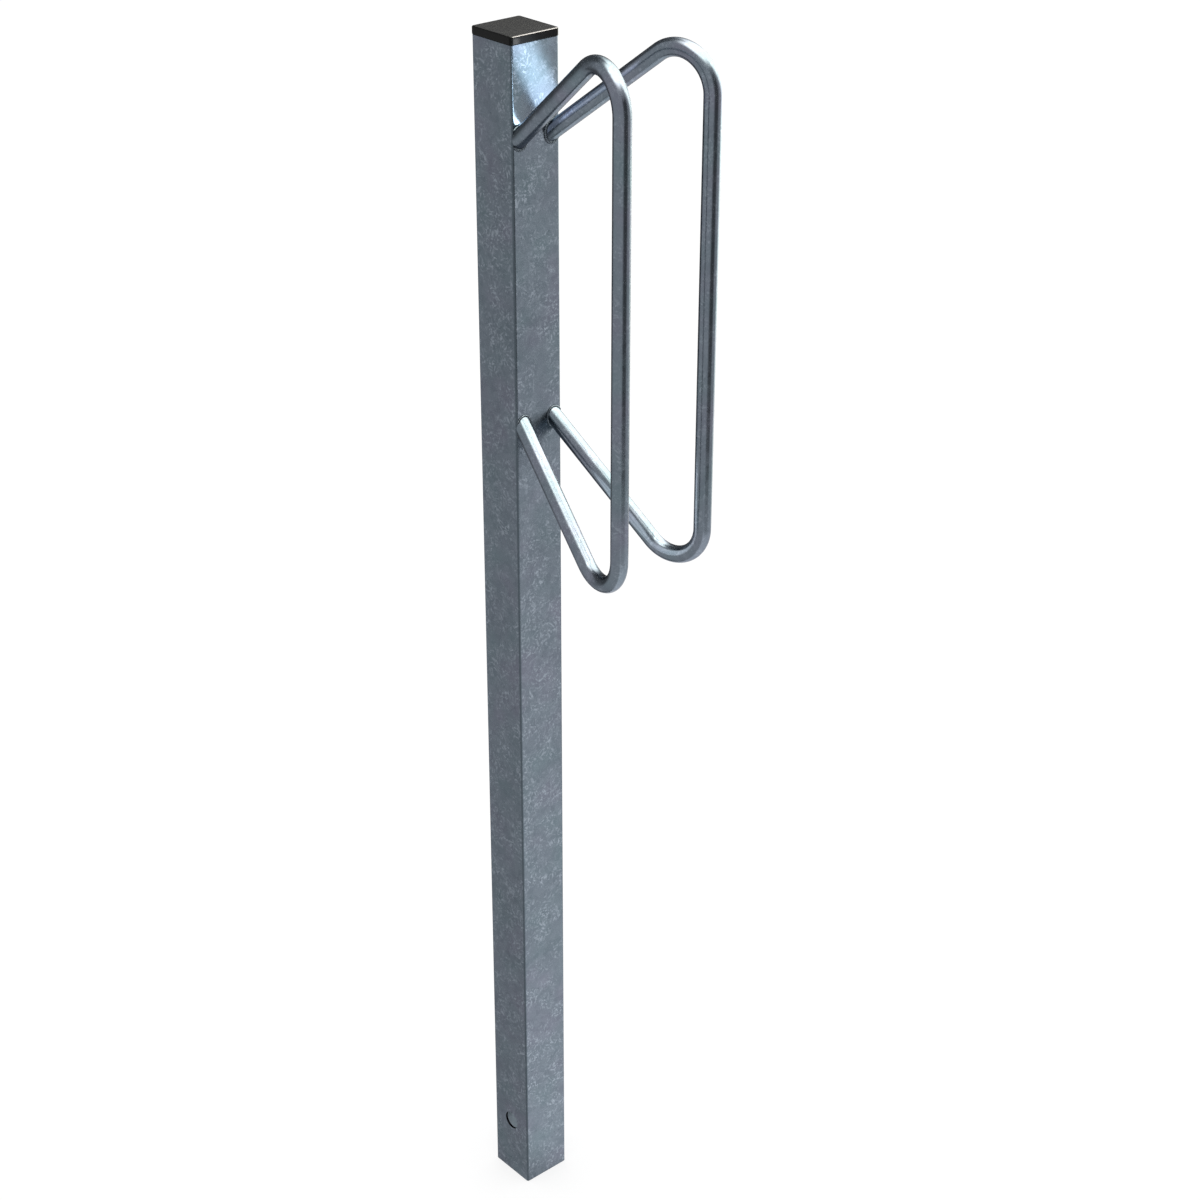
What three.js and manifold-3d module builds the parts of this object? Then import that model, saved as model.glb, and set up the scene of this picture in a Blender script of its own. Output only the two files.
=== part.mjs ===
// Wheel-holding bike rack: a square galvanised post with a pair of bent bar hoops welded to its front
// face and a plastic cap pushed into its head. The hoops splay apart, so a wheel wedges between them.
// Units are millimetres and +Z is up. The origin is on the post's axis at the foot, and the hoops reach
// out along -Y, so -X is the rack's left when it is seen from the front.

import * as THREE from 'three';
import { mergeVertices } from 'three/addons/utils/BufferGeometryUtils.js';
import Module from 'manifold-3d';

// Post: square hollow section, set in the ground
const POST_LENGTH = 1400;
const POST_SIDE = 60;
const POST_WALL = 3;
const POST_CORNER_RADIUS = 2.5;
const POST_BORE_CORNER_RADIUS = 1;

// Hole through the foot for the bar that anchors the post in its concrete
const ANCHOR_HOLE_DIAMETER = 22;
const ANCHOR_HOLE_HEIGHT = 77;

// Hoop: round tube, bent in one plane, with both ends on the front face
const BAR_DIAMETER = 18;
const BAR_WALL = 2;
const BEND_INNER_RADIUS = 30;
const UPPER_LEG_DROP = 92;
const LEG_SPACING = 304;
const HOOP_REACH = 192;
const UPPER_LEG_ANGLE = 37.5;
const LOWER_LEG_ANGLE = 38.5;
const SPLAY_ANGLE = 10.5;

// Weld bead round each bar end
const WELD_BEAD_RADIUS = 2;

// Cap: a head that covers the post's end, and a hollow plug whose fins grip the bore
const CAP_OVERHANG = 0.5;
const CAP_HEAD_HEIGHT = 8;
const CAP_EDGE_RADIUS = 1.5;
const PLUG_DEPTH = 22;
const PLUG_WALL = 2;
const PLUG_CLEARANCE = 1.6;
const PLUG_ROOF_THICKNESS = 2.5;
const PLUG_LEAD_IN = 1.2;
const FIN_COUNT = 3;
const FIN_ROOT_THICKNESS = 1.6;
const FIN_TIP_THICKNESS = 0.8;
const FIN_RISE = 1.2;

// Room between pieces that meet, and how far a cutting tool runs past what it cuts
const SEAT_GAP = 0.3;
const CUT_OVERRUN = 5;

// Facets of the round forms
const BAR_SIDES = 24;
const BAR_BORE_SIDES = 16;
const BEND_STEPS = 14;
const CORNER_STEPS = 6;
const EDGE_STEPS = 4;
const HOLE_SIDES = 40;
const WELD_RING_STEPS = 40;
const WELD_SECTION_SIDES = 10;

const GALVANISED_STEEL = { color: 0x7b8288, roughness: 0.45, metalness: 0.85 };
const WELDED_STEEL = { color: 0x6c7278, roughness: 0.55, metalness: 0.85 };
const BLACK_PLASTIC = { color: 0x1c1c1d, roughness: 0.55, metalness: 0 };

const LEFT = -1;
const RIGHT = 1;

const postHalf = POST_SIDE / 2;
const boreHalf = postHalf - POST_WALL;
const barRadius = BAR_DIAMETER / 2;
// The bars' outer sides are flush with the post's side faces
const legOffset = postHalf - barRadius;
const bendRadius = BEND_INNER_RADIUS + barRadius;
const upperFootHeight = POST_LENGTH - UPPER_LEG_DROP;
const lowerFootHeight = upperFootHeight - LEG_SPACING;
const upperLegRise = THREE.MathUtils.degToRad(UPPER_LEG_ANGLE);
const lowerLegFall = THREE.MathUtils.degToRad(LOWER_LEG_ANGLE);
const splay = THREE.MathUtils.degToRad(SPLAY_ANGLE);

const wasm = await Module();
wasm.setup();

// Closed solids for cutting and joining

function solidOf(geometry) {
  const bare = geometry.clone();
  bare.deleteAttribute('normal');
  bare.deleteAttribute('uv');
  const merged = mergeVertices(bare);
  return new wasm.Manifold(new wasm.Mesh({
    numProp: 3,
    vertProperties: new Float32Array(merged.attributes.position.array),
    triVerts: new Uint32Array(merged.index.array),
  }));
}

function geometryOf(solid) {
  const mesh = solid.getMesh();
  const geometry = new THREE.BufferGeometry();
  geometry.setAttribute('position', new THREE.BufferAttribute(new Float32Array(mesh.vertProperties), 3));
  geometry.setIndex(new THREE.BufferAttribute(new Uint32Array(mesh.triVerts), 1));
  geometry.computeVertexNormals();
  return geometry;
}

function namedMesh(name, solid, finish) {
  const mesh = new THREE.Mesh(geometryOf(solid), new THREE.MeshStandardMaterial(finish));
  mesh.name = name;
  return mesh;
}

// Outlines

function circleOutline(radius, sides) {
  return Array.from({ length: sides }, (_, i) => {
    const turn = (2 * Math.PI * i) / sides;
    return new THREE.Vector2(radius * Math.cos(turn), radius * Math.sin(turn));
  });
}

// A square with rounded corners, counter-clockwise, which always has the same number of points
function squareOutline(halfSide, cornerRadius) {
  const centre = halfSide - cornerRadius;
  const outline = [];
  for (let corner = 0; corner < 4; corner += 1) {
    const start = (corner * Math.PI) / 2;
    const middle = start + Math.PI / 4;
    const x = centre * Math.sign(Math.cos(middle));
    const y = centre * Math.sign(Math.sin(middle));
    for (let step = 0; step <= CORNER_STEPS; step += 1) {
      const turn = start + (step / CORNER_STEPS) * (Math.PI / 2);
      outline.push(new THREE.Vector2(x + cornerRadius * Math.cos(turn), y + cornerRadius * Math.sin(turn)));
    }
  }
  return outline;
}

// Solids that cut, fill or bound

// A round bar between two points
function rod(from, to, radius, sides) {
  const axis = new THREE.Vector3().subVectors(to, from);
  const turn = new THREE.Quaternion().setFromUnitVectors(new THREE.Vector3(0, 1, 0), axis.clone().normalize());
  const middle = new THREE.Vector3().addVectors(from, to).multiplyScalar(0.5);
  const geometry = new THREE.CylinderGeometry(radius, radius, axis.length(), sides);
  geometry.applyQuaternion(turn);
  geometry.translate(middle.x, middle.y, middle.z);
  return solidOf(geometry);
}

function block(low, high) {
  const size = new THREE.Vector3().subVectors(high, low);
  const middle = new THREE.Vector3().addVectors(low, high).multiplyScalar(0.5);
  const geometry = new THREE.BoxGeometry(size.x, size.y, size.z);
  geometry.translate(middle.x, middle.y, middle.z);
  return solidOf(geometry);
}

// An upright square bar with rounded corners
function squareBar(halfSide, cornerRadius, bottom, top) {
  const shape = new THREE.Shape(squareOutline(halfSide, cornerRadius));
  const geometry = new THREE.ExtrudeGeometry(shape, { depth: top - bottom, bevelEnabled: false });
  geometry.translate(0, 0, bottom);
  return solidOf(geometry);
}

// A solid whose level sections are rounded squares. The profile runs from the middle of one end face to
// the middle of the other, as rows of half side, corner radius and height.
function squareLathe(profile) {
  const rings = profile.map(([halfSide, cornerRadius, height]) => (
    squareOutline(halfSide, cornerRadius).map((p) => [p.x, p.y, height])
  ));
  const count = rings[0].length;
  const first = profile[0];
  const last = profile[profile.length - 1];
  const positions = rings.flat(2);
  positions.push(0, 0, first[2], 0, 0, last[2]);
  const startCentre = rings.length * count;
  const endCentre = startCentre + 1;
  const lastRing = (rings.length - 1) * count;
  const triangles = [];
  for (let i = 0; i < count; i += 1) {
    const next = (i + 1) % count;
    triangles.push(startCentre, next, i);
    triangles.push(endCentre, lastRing + i, lastRing + next);
    for (let ring = 0; ring < rings.length - 1; ring += 1) {
      const low = ring * count;
      const high = low + count;
      triangles.push(low + i, low + next, high + next);
      triangles.push(low + i, high + next, high + i);
    }
  }
  const geometry = new THREE.BufferGeometry();
  geometry.setAttribute('position', new THREE.Float32BufferAttribute(positions, 3));
  geometry.setIndex(triangles);
  return solidOf(geometry);
}

// Hoop

// A place in the hoop's own plane, out from the face and up, as a place on the rack
function hoopPoint(side, out, height) {
  return new THREE.Vector3(
    side * (legOffset + out * Math.sin(splay)),
    -postHalf - out * Math.cos(splay),
    height,
  );
}

function hoopDirection(side, out, up) {
  return new THREE.Vector3(side * out * Math.sin(splay), -out * Math.cos(splay), up).normalize();
}

const upperLegDirection = (side) => hoopDirection(side, Math.cos(upperLegRise), Math.sin(upperLegRise));
const lowerLegDirection = (side) => hoopDirection(side, Math.cos(lowerLegFall), -Math.sin(lowerLegFall));

// The centreline of a bent bar. Its sections stand at the ends of each straight and round each bend, so
// a straight takes one step however long it is.
class BentBarLine extends THREE.Curve {
  constructor(stations) {
    super();
    this.stations = stations;
  }

  get steps() {
    return this.stations.length - 1;
  }

  stationAt(share) {
    return this.stations[Math.round(share * this.steps)];
  }

  getPointAt(share, target = new THREE.Vector3()) {
    return target.copy(this.stationAt(share).point);
  }

  getTangentAt(share, target = new THREE.Vector3()) {
    return target.copy(this.stationAt(share).direction);
  }
}

// Both legs run on into the post and are trimmed to its face afterwards. The bends turn about centres
// one bend radius inside the upright, where the arc also touches its leg.
function hoopLine(side) {
  const centreOut = HOOP_REACH - bendRadius;
  const upperCentre = upperFootHeight + HOOP_REACH * Math.tan(upperLegRise)
    - bendRadius / Math.tan((Math.PI / 2 - upperLegRise) / 2);
  const lowerCentre = lowerFootHeight - HOOP_REACH * Math.tan(lowerLegFall)
    + bendRadius / Math.tan((Math.PI / 2 - lowerLegFall) / 2);
  const stations = [];

  const addBend = (centreHeight, startTurn, endTurn) => {
    for (let step = 0; step <= BEND_STEPS; step += 1) {
      const turn = startTurn + (step / BEND_STEPS) * (endTurn - startTurn);
      stations.push({
        point: hoopPoint(
          side,
          centreOut + bendRadius * Math.cos(turn),
          centreHeight + bendRadius * Math.sin(turn),
        ),
        direction: hoopDirection(side, Math.sin(turn), -Math.cos(turn)),
      });
    }
  };

  const runIn = -BAR_DIAMETER;
  stations.push({
    point: hoopPoint(side, runIn, upperFootHeight + runIn * Math.tan(upperLegRise)),
    direction: upperLegDirection(side),
  });
  addBend(upperCentre, Math.PI / 2 + upperLegRise, 0);
  addBend(lowerCentre, 0, -Math.PI / 2 - lowerLegFall);
  stations.push({
    point: hoopPoint(side, runIn, lowerFootHeight - runIn * Math.tan(lowerLegFall)),
    direction: lowerLegDirection(side).negate(),
  });
  return new BentBarLine(stations);
}

function makeHoop(side) {
  const section = new THREE.Shape(circleOutline(barRadius, BAR_SIDES));
  section.holes.push(new THREE.Path(circleOutline(barRadius - BAR_WALL, BAR_BORE_SIDES)));
  const line = hoopLine(side);
  const bar = solidOf(new THREE.ExtrudeGeometry(section, { steps: line.steps, extrudePath: line }));
  const behindFace = block(
    new THREE.Vector3(-POST_SIDE, -postHalf - SEAT_GAP, 0),
    new THREE.Vector3(POST_SIDE, postHalf, POST_LENGTH + HOOP_REACH),
  );
  return bar.subtract(behindFace);
}

// Weld bead: a ring laid on the oval where the bar meets the face. It is open on the outer side, where
// the bar is flush with the side of the post.

function makeWeld(side, height, legDirection) {
  const foot = hoopPoint(side, 0, height);
  const outward = new THREE.Vector3(0, -1, 0);
  const along = legDirection.clone().addScaledVector(outward, -legDirection.dot(outward)).normalize();
  const across = new THREE.Vector3().crossVectors(outward, along);
  const stretch = 1 / legDirection.dot(outward);
  const ring = new THREE.TorusGeometry(barRadius, WELD_BEAD_RADIUS, WELD_SECTION_SIDES, WELD_RING_STEPS);
  ring.scale(stretch, 1, 1);
  ring.applyMatrix4(new THREE.Matrix4().makeBasis(along, across, outward).setPosition(foot));
  const barRoom = rod(
    foot.clone().addScaledVector(legDirection, -2 * BAR_DIAMETER),
    foot.clone().addScaledVector(legDirection, 2 * BAR_DIAMETER),
    barRadius + SEAT_GAP,
    2 * BAR_SIDES,
  );
  const frontOfFace = block(
    new THREE.Vector3(-postHalf, -postHalf - BAR_DIAMETER, 0),
    new THREE.Vector3(postHalf, -postHalf - SEAT_GAP, POST_LENGTH),
  );
  return solidOf(ring).intersect(frontOfFace).subtract(barRoom);
}

// Post

function makePost() {
  const tube = squareBar(postHalf, POST_CORNER_RADIUS, 0, POST_LENGTH)
    .subtract(squareBar(boreHalf, POST_BORE_CORNER_RADIUS, -CUT_OVERRUN, POST_LENGTH + CUT_OVERRUN));
  const past = postHalf + CUT_OVERRUN;
  const anchorHole = rod(
    new THREE.Vector3(-past, 0, ANCHOR_HOLE_HEIGHT),
    new THREE.Vector3(past, 0, ANCHOR_HOLE_HEIGHT),
    ANCHOR_HOLE_DIAMETER / 2,
    HOLE_SIDES,
  );
  return tube.subtract(anchorHole);
}

// Cap

function makeCap() {
  const seat = POST_LENGTH + SEAT_GAP;
  const top = seat + CAP_HEAD_HEIGHT;
  const headHalf = postHalf + CAP_OVERHANG;
  const headCorner = POST_CORNER_RADIUS + CAP_OVERHANG;
  const plugHalf = boreHalf - PLUG_CLEARANCE;
  const plugCorner = POST_BORE_CORNER_RADIUS;
  const finHalf = boreHalf - SEAT_GAP;
  const foot = seat - PLUG_DEPTH;
  const finPitch = (PLUG_DEPTH - PLUG_LEAD_IN) / (FIN_COUNT + 1);
  const cavityHalf = plugHalf - PLUG_WALL;
  const roof = seat - PLUG_ROOF_THICKNESS;
  const profile = [
    [cavityHalf, plugCorner, roof],
    [cavityHalf, plugCorner, foot],
    [plugHalf - PLUG_LEAD_IN, plugCorner, foot],
    [plugHalf, plugCorner, foot + PLUG_LEAD_IN],
  ];
  // Each fin leans up towards the head, so the plug goes in easily and resists being pulled out
  for (let fin = FIN_COUNT; fin > 0; fin -= 1) {
    const root = seat - fin * finPitch;
    profile.push(
      [plugHalf, plugCorner, root],
      [finHalf, plugCorner, root + FIN_RISE],
      [finHalf, plugCorner, root + FIN_RISE + FIN_TIP_THICKNESS],
      [plugHalf, plugCorner, root + FIN_ROOT_THICKNESS],
    );
  }
  profile.push([plugHalf, plugCorner, seat], [headHalf, headCorner, seat]);
  for (let step = 0; step <= EDGE_STEPS; step += 1) {
    const turn = (step / EDGE_STEPS) * (Math.PI / 2);
    const inset = CAP_EDGE_RADIUS * (1 - Math.cos(turn));
    profile.push([headHalf - inset, headCorner - inset, top - CAP_EDGE_RADIUS * (1 - Math.sin(turn))]);
  }
  return squareLathe(profile);
}

const rack = new THREE.Group();
rack.add(
  namedMesh('post', makePost(), GALVANISED_STEEL),
  namedMesh('end_cap', makeCap(), BLACK_PLASTIC),
);
for (const [name, side] of [['left', LEFT], ['right', RIGHT]]) {
  rack.add(
    namedMesh(`hoop_${name}`, makeHoop(side), GALVANISED_STEEL),
    namedMesh(`weld_upper_${name}`, makeWeld(side, upperFootHeight, upperLegDirection(side)), WELDED_STEEL),
    namedMesh(`weld_lower_${name}`, makeWeld(side, lowerFootHeight, lowerLegDirection(side)), WELDED_STEEL),
  );
}

export default rack;
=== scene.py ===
"""The looks of a wheel-holding bike rack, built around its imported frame.

The rack is a square galvanised post with two bent bar hoops welded to its front face and a black cap on
its head. The post, the cap, the hoops and the welds each have an operator, and their sizes and colours
are properties of the scene. All lengths are in metres.
"""

from functools import partial
import math

import bmesh
import bpy
from bpy.props import FloatProperty, FloatVectorProperty, IntProperty, PointerProperty
from mathutils import Matrix, Vector


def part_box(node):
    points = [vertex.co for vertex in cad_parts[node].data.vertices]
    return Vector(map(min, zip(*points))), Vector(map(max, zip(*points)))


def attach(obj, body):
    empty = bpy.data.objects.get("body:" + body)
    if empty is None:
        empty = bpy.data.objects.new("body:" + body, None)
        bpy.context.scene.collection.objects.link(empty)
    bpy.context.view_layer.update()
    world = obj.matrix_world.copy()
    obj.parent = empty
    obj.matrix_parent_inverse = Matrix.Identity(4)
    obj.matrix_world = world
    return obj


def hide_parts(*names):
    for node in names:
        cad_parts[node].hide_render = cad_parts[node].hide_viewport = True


bl_info = {
    "name": "Hoop bike rack",
    "version": (1, 0, 0),
    "blender": (4, 5, 0),
    "location": "3D View > Sidebar > Bike Rack",
    "description": "Makes the galvanised post, hoops, welds and cap of a hoop bike rack",
    "category": "Object",
}

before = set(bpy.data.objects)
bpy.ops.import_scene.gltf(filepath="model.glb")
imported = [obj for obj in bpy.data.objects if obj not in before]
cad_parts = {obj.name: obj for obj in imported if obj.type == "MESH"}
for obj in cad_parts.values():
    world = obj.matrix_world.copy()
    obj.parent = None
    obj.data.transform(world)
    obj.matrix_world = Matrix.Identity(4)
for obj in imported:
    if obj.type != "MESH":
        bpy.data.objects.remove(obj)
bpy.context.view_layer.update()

MM = 0.001
UP = Vector((0, 0, 1))
LEFT = -1
RIGHT = 1
SIDES = {"left": LEFT, "right": RIGHT}
FOOT_HEIGHTS = ("upper", "lower")

# The photograph's camera, in the rack's frame
CAMERA_PLACE = Vector((-1438.7, -1765.5, 1984.8)) * MM
CAMERA_YAW = math.radians(40.93)
CAMERA_PITCH = math.radians(27.84)
FRAME_WIDTH = 1200
FOCAL_PIXELS = 2369.6
OPTICAL_CENTRE = Vector((587.34, 600.5))
SENSOR_WIDTH = 36


def setting(name, description, default, kind=FloatProperty, **options):
    return kind(name=name, description=description, default=default, **options)


length = partial(setting, min=0, unit="LENGTH", precision=4)
angle = partial(setting, unit="ROTATION")
count = partial(setting, kind=IntProperty, min=3)
share = partial(setting, min=0, max=1, subtype="FACTOR")
level = partial(setting, min=0)
colour = partial(setting, kind=FloatVectorProperty, size=3, min=0, max=1, subtype="COLOR")


class RackPostSettings(bpy.types.PropertyGroup):
    """Sizes of the square post."""

    wall: length("Wall", "Thickness of the tube's wall", 3 * MM)
    corner_radius: length("Corner radius", "Outer radius of the tube's corners", 2.5 * MM)
    bore_corner_radius: length("Bore corner radius", "Inner radius of the tube's corners", 1 * MM)
    corner_steps: count("Corner steps", "Faces round each outer and inner corner", 12)
    edge_break: length("Edge break", "Bevel on sawn and drilled edges", 0.35 * MM)
    hole_diameter: length("Hole diameter", "Hole through the foot for the anchor bar", 22 * MM)
    hole_height: length("Hole height", "Height of the anchor hole above the foot", 77 * MM)
    hole_sides: count("Hole sides", "Faces round the anchor hole", 96)


class RackCapSettings(bpy.types.PropertyGroup):
    """Sizes of the cap in the post's head."""

    head_height: length("Head height", "Height of the head above the post", 8 * MM)
    head_corner_radius: length("Head corner radius", "Radius of the head's upright corners", 3 * MM)
    edge_radius: length("Edge radius", "Radius round the head's top edge", 1.5 * MM)
    lower_edge_radius: length("Lower edge radius", "Radius round the head's bottom edge", 0.4 * MM)
    edge_steps: count("Edge steps", "Faces round the head's top edge", 8)
    plug_clearance: length("Plug clearance", "Room between the plug and the bore", 1.6 * MM)
    plug_wall: length("Plug wall", "Thickness of the plug's wall", 2 * MM)
    plug_roof: length("Plug roof", "Distance from the seat down to the cavity's roof", 2.5 * MM)
    plug_lead_in: length("Plug lead-in", "Bevel on the plug's foot", 1.2 * MM)
    fin_count: count("Fins", "Number of fins round the plug", 3)
    fin_clearance: length("Fin clearance", "Room between the fins and the bore", 0.3 * MM)
    fin_root: length("Fin root", "Thickness of a fin at the plug", 1.6 * MM)
    fin_tip: length("Fin tip", "Thickness of a fin at the bore", 0.8 * MM)
    fin_rise: length("Fin rise", "How far a fin's tip leans up", 1.2 * MM)


class RackHoopSettings(bpy.types.PropertyGroup):
    """Sizes of the bent bars."""

    bar_diameter: length("Bar diameter", "Outer diameter of the bar", 17.99 * MM)
    bend_radius: length("Bend radius", "Radius of each bend along the bar's middle", 39.1 * MM)
    upper_foot: length("Upper foot", "Height where the upper leg meets the face", 1308 * MM)
    lower_foot: length("Lower foot", "Height where the lower leg meets the face", 1004 * MM)
    reach: length("Reach", "Distance from the face to the upright, in the hoop's plane", 191.97 * MM)
    upper_angle: angle("Upper angle", "Rise of the upper leg", math.radians(37.5))
    lower_angle: angle("Lower angle", "Fall of the lower leg", math.radians(38.5))
    splay: angle("Splay", "Turn of each hoop away from the middle", math.radians(10.5))
    seat_gap: length("Seat gap", "Room between a bar's end and the face", 0.3 * MM)
    bar_sides: count("Bar sides", "Faces round the bar", 64)
    bend_steps: count("Bend steps", "Sections round each bend", 40)


class RackWeldSettings(bpy.types.PropertyGroup):
    """Sizes of the weld beads."""

    upper_bead_radius: length("Upper bead radius", "Radius of the upper legs' beads", 2 * MM)
    lower_bead_radius: length("Lower bead radius", "Radius of the lower legs' beads", 1.5 * MM)
    ripple_pitch: length("Ripple pitch", "Distance from one ripple to the next", 2.1 * MM)
    ripple_depth: share("Ripple depth", "Depth of a ripple as a share of the radius", 0.13)
    path_step: length("Path step", "Distance between the bead's sections", 0.3 * MM)
    bead_sides: count("Bead sides", "Faces round the bead", 20)
    seed: setting("Seed", "Seed of the bead's uneven width", 7, kind=IntProperty)


class RackFinishSettings(bpy.types.PropertyGroup):
    """Colours of the finishes."""

    zinc: colour("Zinc", "Galvanised steel", (0.122, 0.144, 0.172))
    zinc_light: colour("Light zinc", "Bright streaks and flecks in the zinc", (0.205, 0.235, 0.272))
    # Dark zinc is also the colour of the painted shade along the post's corners and of the darker foot
    # line
    zinc_dark: colour("Dark zinc", "Dull patches and pits in the zinc", (0.060, 0.077, 0.092))
    zinc_violet: colour("Violet zinc", "Faint violet bloom", (0.140, 0.139, 0.182))
    zinc_green: colour("Green zinc", "Faint green bloom", (0.106, 0.152, 0.166))
    # Painted shade: the near-black colour of the hole's wall stands in for its shadow
    drilled: colour("Drilled edge", "Dark wall of the drilled hole", (0.002, 0.002, 0.003))
    bore: colour("Bore", "Dull zinc inside the post", (0.140, 0.166, 0.188))
    plastic: colour("Plastic", "Black plastic of the cap", (0.004, 0.004, 0.004))
    plastic_dust: colour("Plastic dust", "Dusty plastic on top of the cap", (0.014, 0.014, 0.014))


class RackStageSettings(bpy.types.PropertyGroup):
    """Levels of the studio light. All but surround and bore show only in reflections."""

    surround: level("Surround", "Light that reaches the rack from all round", 1.0)
    overhead: level("Overhead", "Brightness of the overhead card", 7.5)
    side: level("Side", "Brightness of the right-hand card", 7.5)
    front_flag: level("Front flag", "Brightness of the dark card in front", 0.2)
    back_flag: level("Back flag", "Brightness of the dark card behind", 0.25)
    low_flag: level("Low flag", "Brightness of the low dark card at the back right", 0.1)
    floor_near: level("Near floor", "Extra brightness of the floor near the post", 1.05)
    floor_far: level("Far floor", "Extra brightness of the floor far from the post", 0.6)
    glow: level("Leg glow", "Brightness of the glow that the legs throw on the post", 5.3)
    sheen: level("Sheen", "Brightness of the post's glow in the right hoop's upper leg", 0.6)
    gap: level("Gap", "Brightness of the wheel gap's glow in the right hoop's upper leg", 1.0)
    band: level("Band", "Brightness of the wheel gap's glow in the right hoop's lower part", 1.6)
    face: level("Face", "Brightness of the panel at the front right in the post's zinc", 0.45)
    back: level("Back", "Brightness of the panel behind in the post's zinc", 0.75)
    front: level("Front", "Brightness of the panel ahead in the post's zinc", 0.5)
    cap_corner: level("Cap corner", "Brightness of the glow at the cap's front corner", 14.0)
    cap_edge: level("Cap edge", "Brightness of the light along the cap's edge", 120.0)
    bore: setting("Bore", "Power of the light in the post's foot", 0.05, min=0, unit="POWER")


# Meshes


def link(name, data):
    made = bpy.data.objects.new(name, data)
    bpy.context.scene.collection.objects.link(made)
    return made


def square_ring(half_side, corner_radius, steps, support, height):
    """A rounded square at a height, counter-clockwise. A point on the flat beside each corner keeps the
    flat's shading level."""
    outline = []
    centre = half_side - corner_radius
    for quarter in range(4):
        start = quarter * math.pi / 2
        middle = start + math.pi / 4
        corner = Vector((math.copysign(centre, math.cos(middle)), math.copysign(centre, math.sin(middle))))
        before = Vector((math.cos(start), math.sin(start)))
        after = Vector((-before.y, before.x))
        outline.append(corner + before * corner_radius - after * support)
        for step in range(steps + 1):
            turn = start + step / steps * math.pi / 2
            outline.append(corner + corner_radius * Vector((math.cos(turn), math.sin(turn))))
        outline.append(corner + after * corner_radius - before * support)
    return [Vector((point.x, point.y, height)) for point in outline]


def mesh_from(shape, name):
    mesh = bpy.data.meshes.new(name)
    shape.to_mesh(mesh)
    shape.free()
    return mesh


def loft(name, rings, closed=False):
    """A mesh through rings with the same number of points. An open loft is closed by a face at each
    end, and a closed one runs on from its last ring to its first."""
    shape = bmesh.new()
    rows = [[shape.verts.new(point) for point in ring] for ring in rings]
    pairs = list(zip(rows, rows[1:]))
    if closed:
        pairs.append((rows[-1], rows[0]))
    else:
        shape.faces.new(list(reversed(rows[0])))
        shape.faces.new(rows[-1])
    for low, high in pairs:
        for i, vert in enumerate(low):
            after = (i + 1) % len(low)
            shape.faces.new((vert, low[after], high[after], high[i]))
    bmesh.ops.recalc_face_normals(shape, faces=shape.faces)
    return mesh_from(shape, name)


SMOOTH_LIMIT = math.radians(32)


def shade_smooth(mesh):
    """Smooth shading, with a crease wherever the surface turns sharply."""
    mesh.polygons.foreach_set("use_smooth", [True] * len(mesh.polygons))
    mesh.set_sharp_from_angle(angle=SMOOTH_LIMIT)


def bake(piece):
    """The piece's evaluated mesh as a plain mesh, in place of its modifiers."""
    graph = bpy.context.evaluated_depsgraph_get()
    mesh = bpy.data.meshes.new_from_object(piece.evaluated_get(graph))
    piece.modifiers.clear()
    piece.data = mesh
    return mesh


def dress(piece, slot, *nodes):
    """Puts a finished piece on the rack in place of its nodes."""
    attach(piece, "root")
    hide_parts(*nodes)


# Node trees


class Tree:
    """Short calls for adding and joining the nodes of a tree."""

    def __init__(self, tree):
        self.tree = tree

    def node(self, kind, inputs=None, **settings):
        made = self.tree.nodes.new(kind)
        for name, value in settings.items():
            setattr(made, name, value)
        for name, value in (inputs or {}).items():
            self.feed(made.inputs[name], value)
        return made

    def feed(self, socket, value):
        """Joins an output to an input, or sets the input's own value."""
        if isinstance(value, bpy.types.NodeSocket):
            self.tree.links.new(value, socket)
        else:
            socket.default_value = value

    def math(self, operation, *values):
        return self.node("ShaderNodeMath", dict(enumerate(values)), operation=operation).outputs[0]

    def plus(self, value, pattern, strength):
        """The value, and a share of the pattern on top of it."""
        return self.math("ADD", value, self.math("MULTIPLY", pattern, strength))

    def vector_math(self, operation, *values, output="Vector"):
        made = self.node("ShaderNodeVectorMath", dict(enumerate(values)), operation=operation)
        return made.outputs[output]


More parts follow.
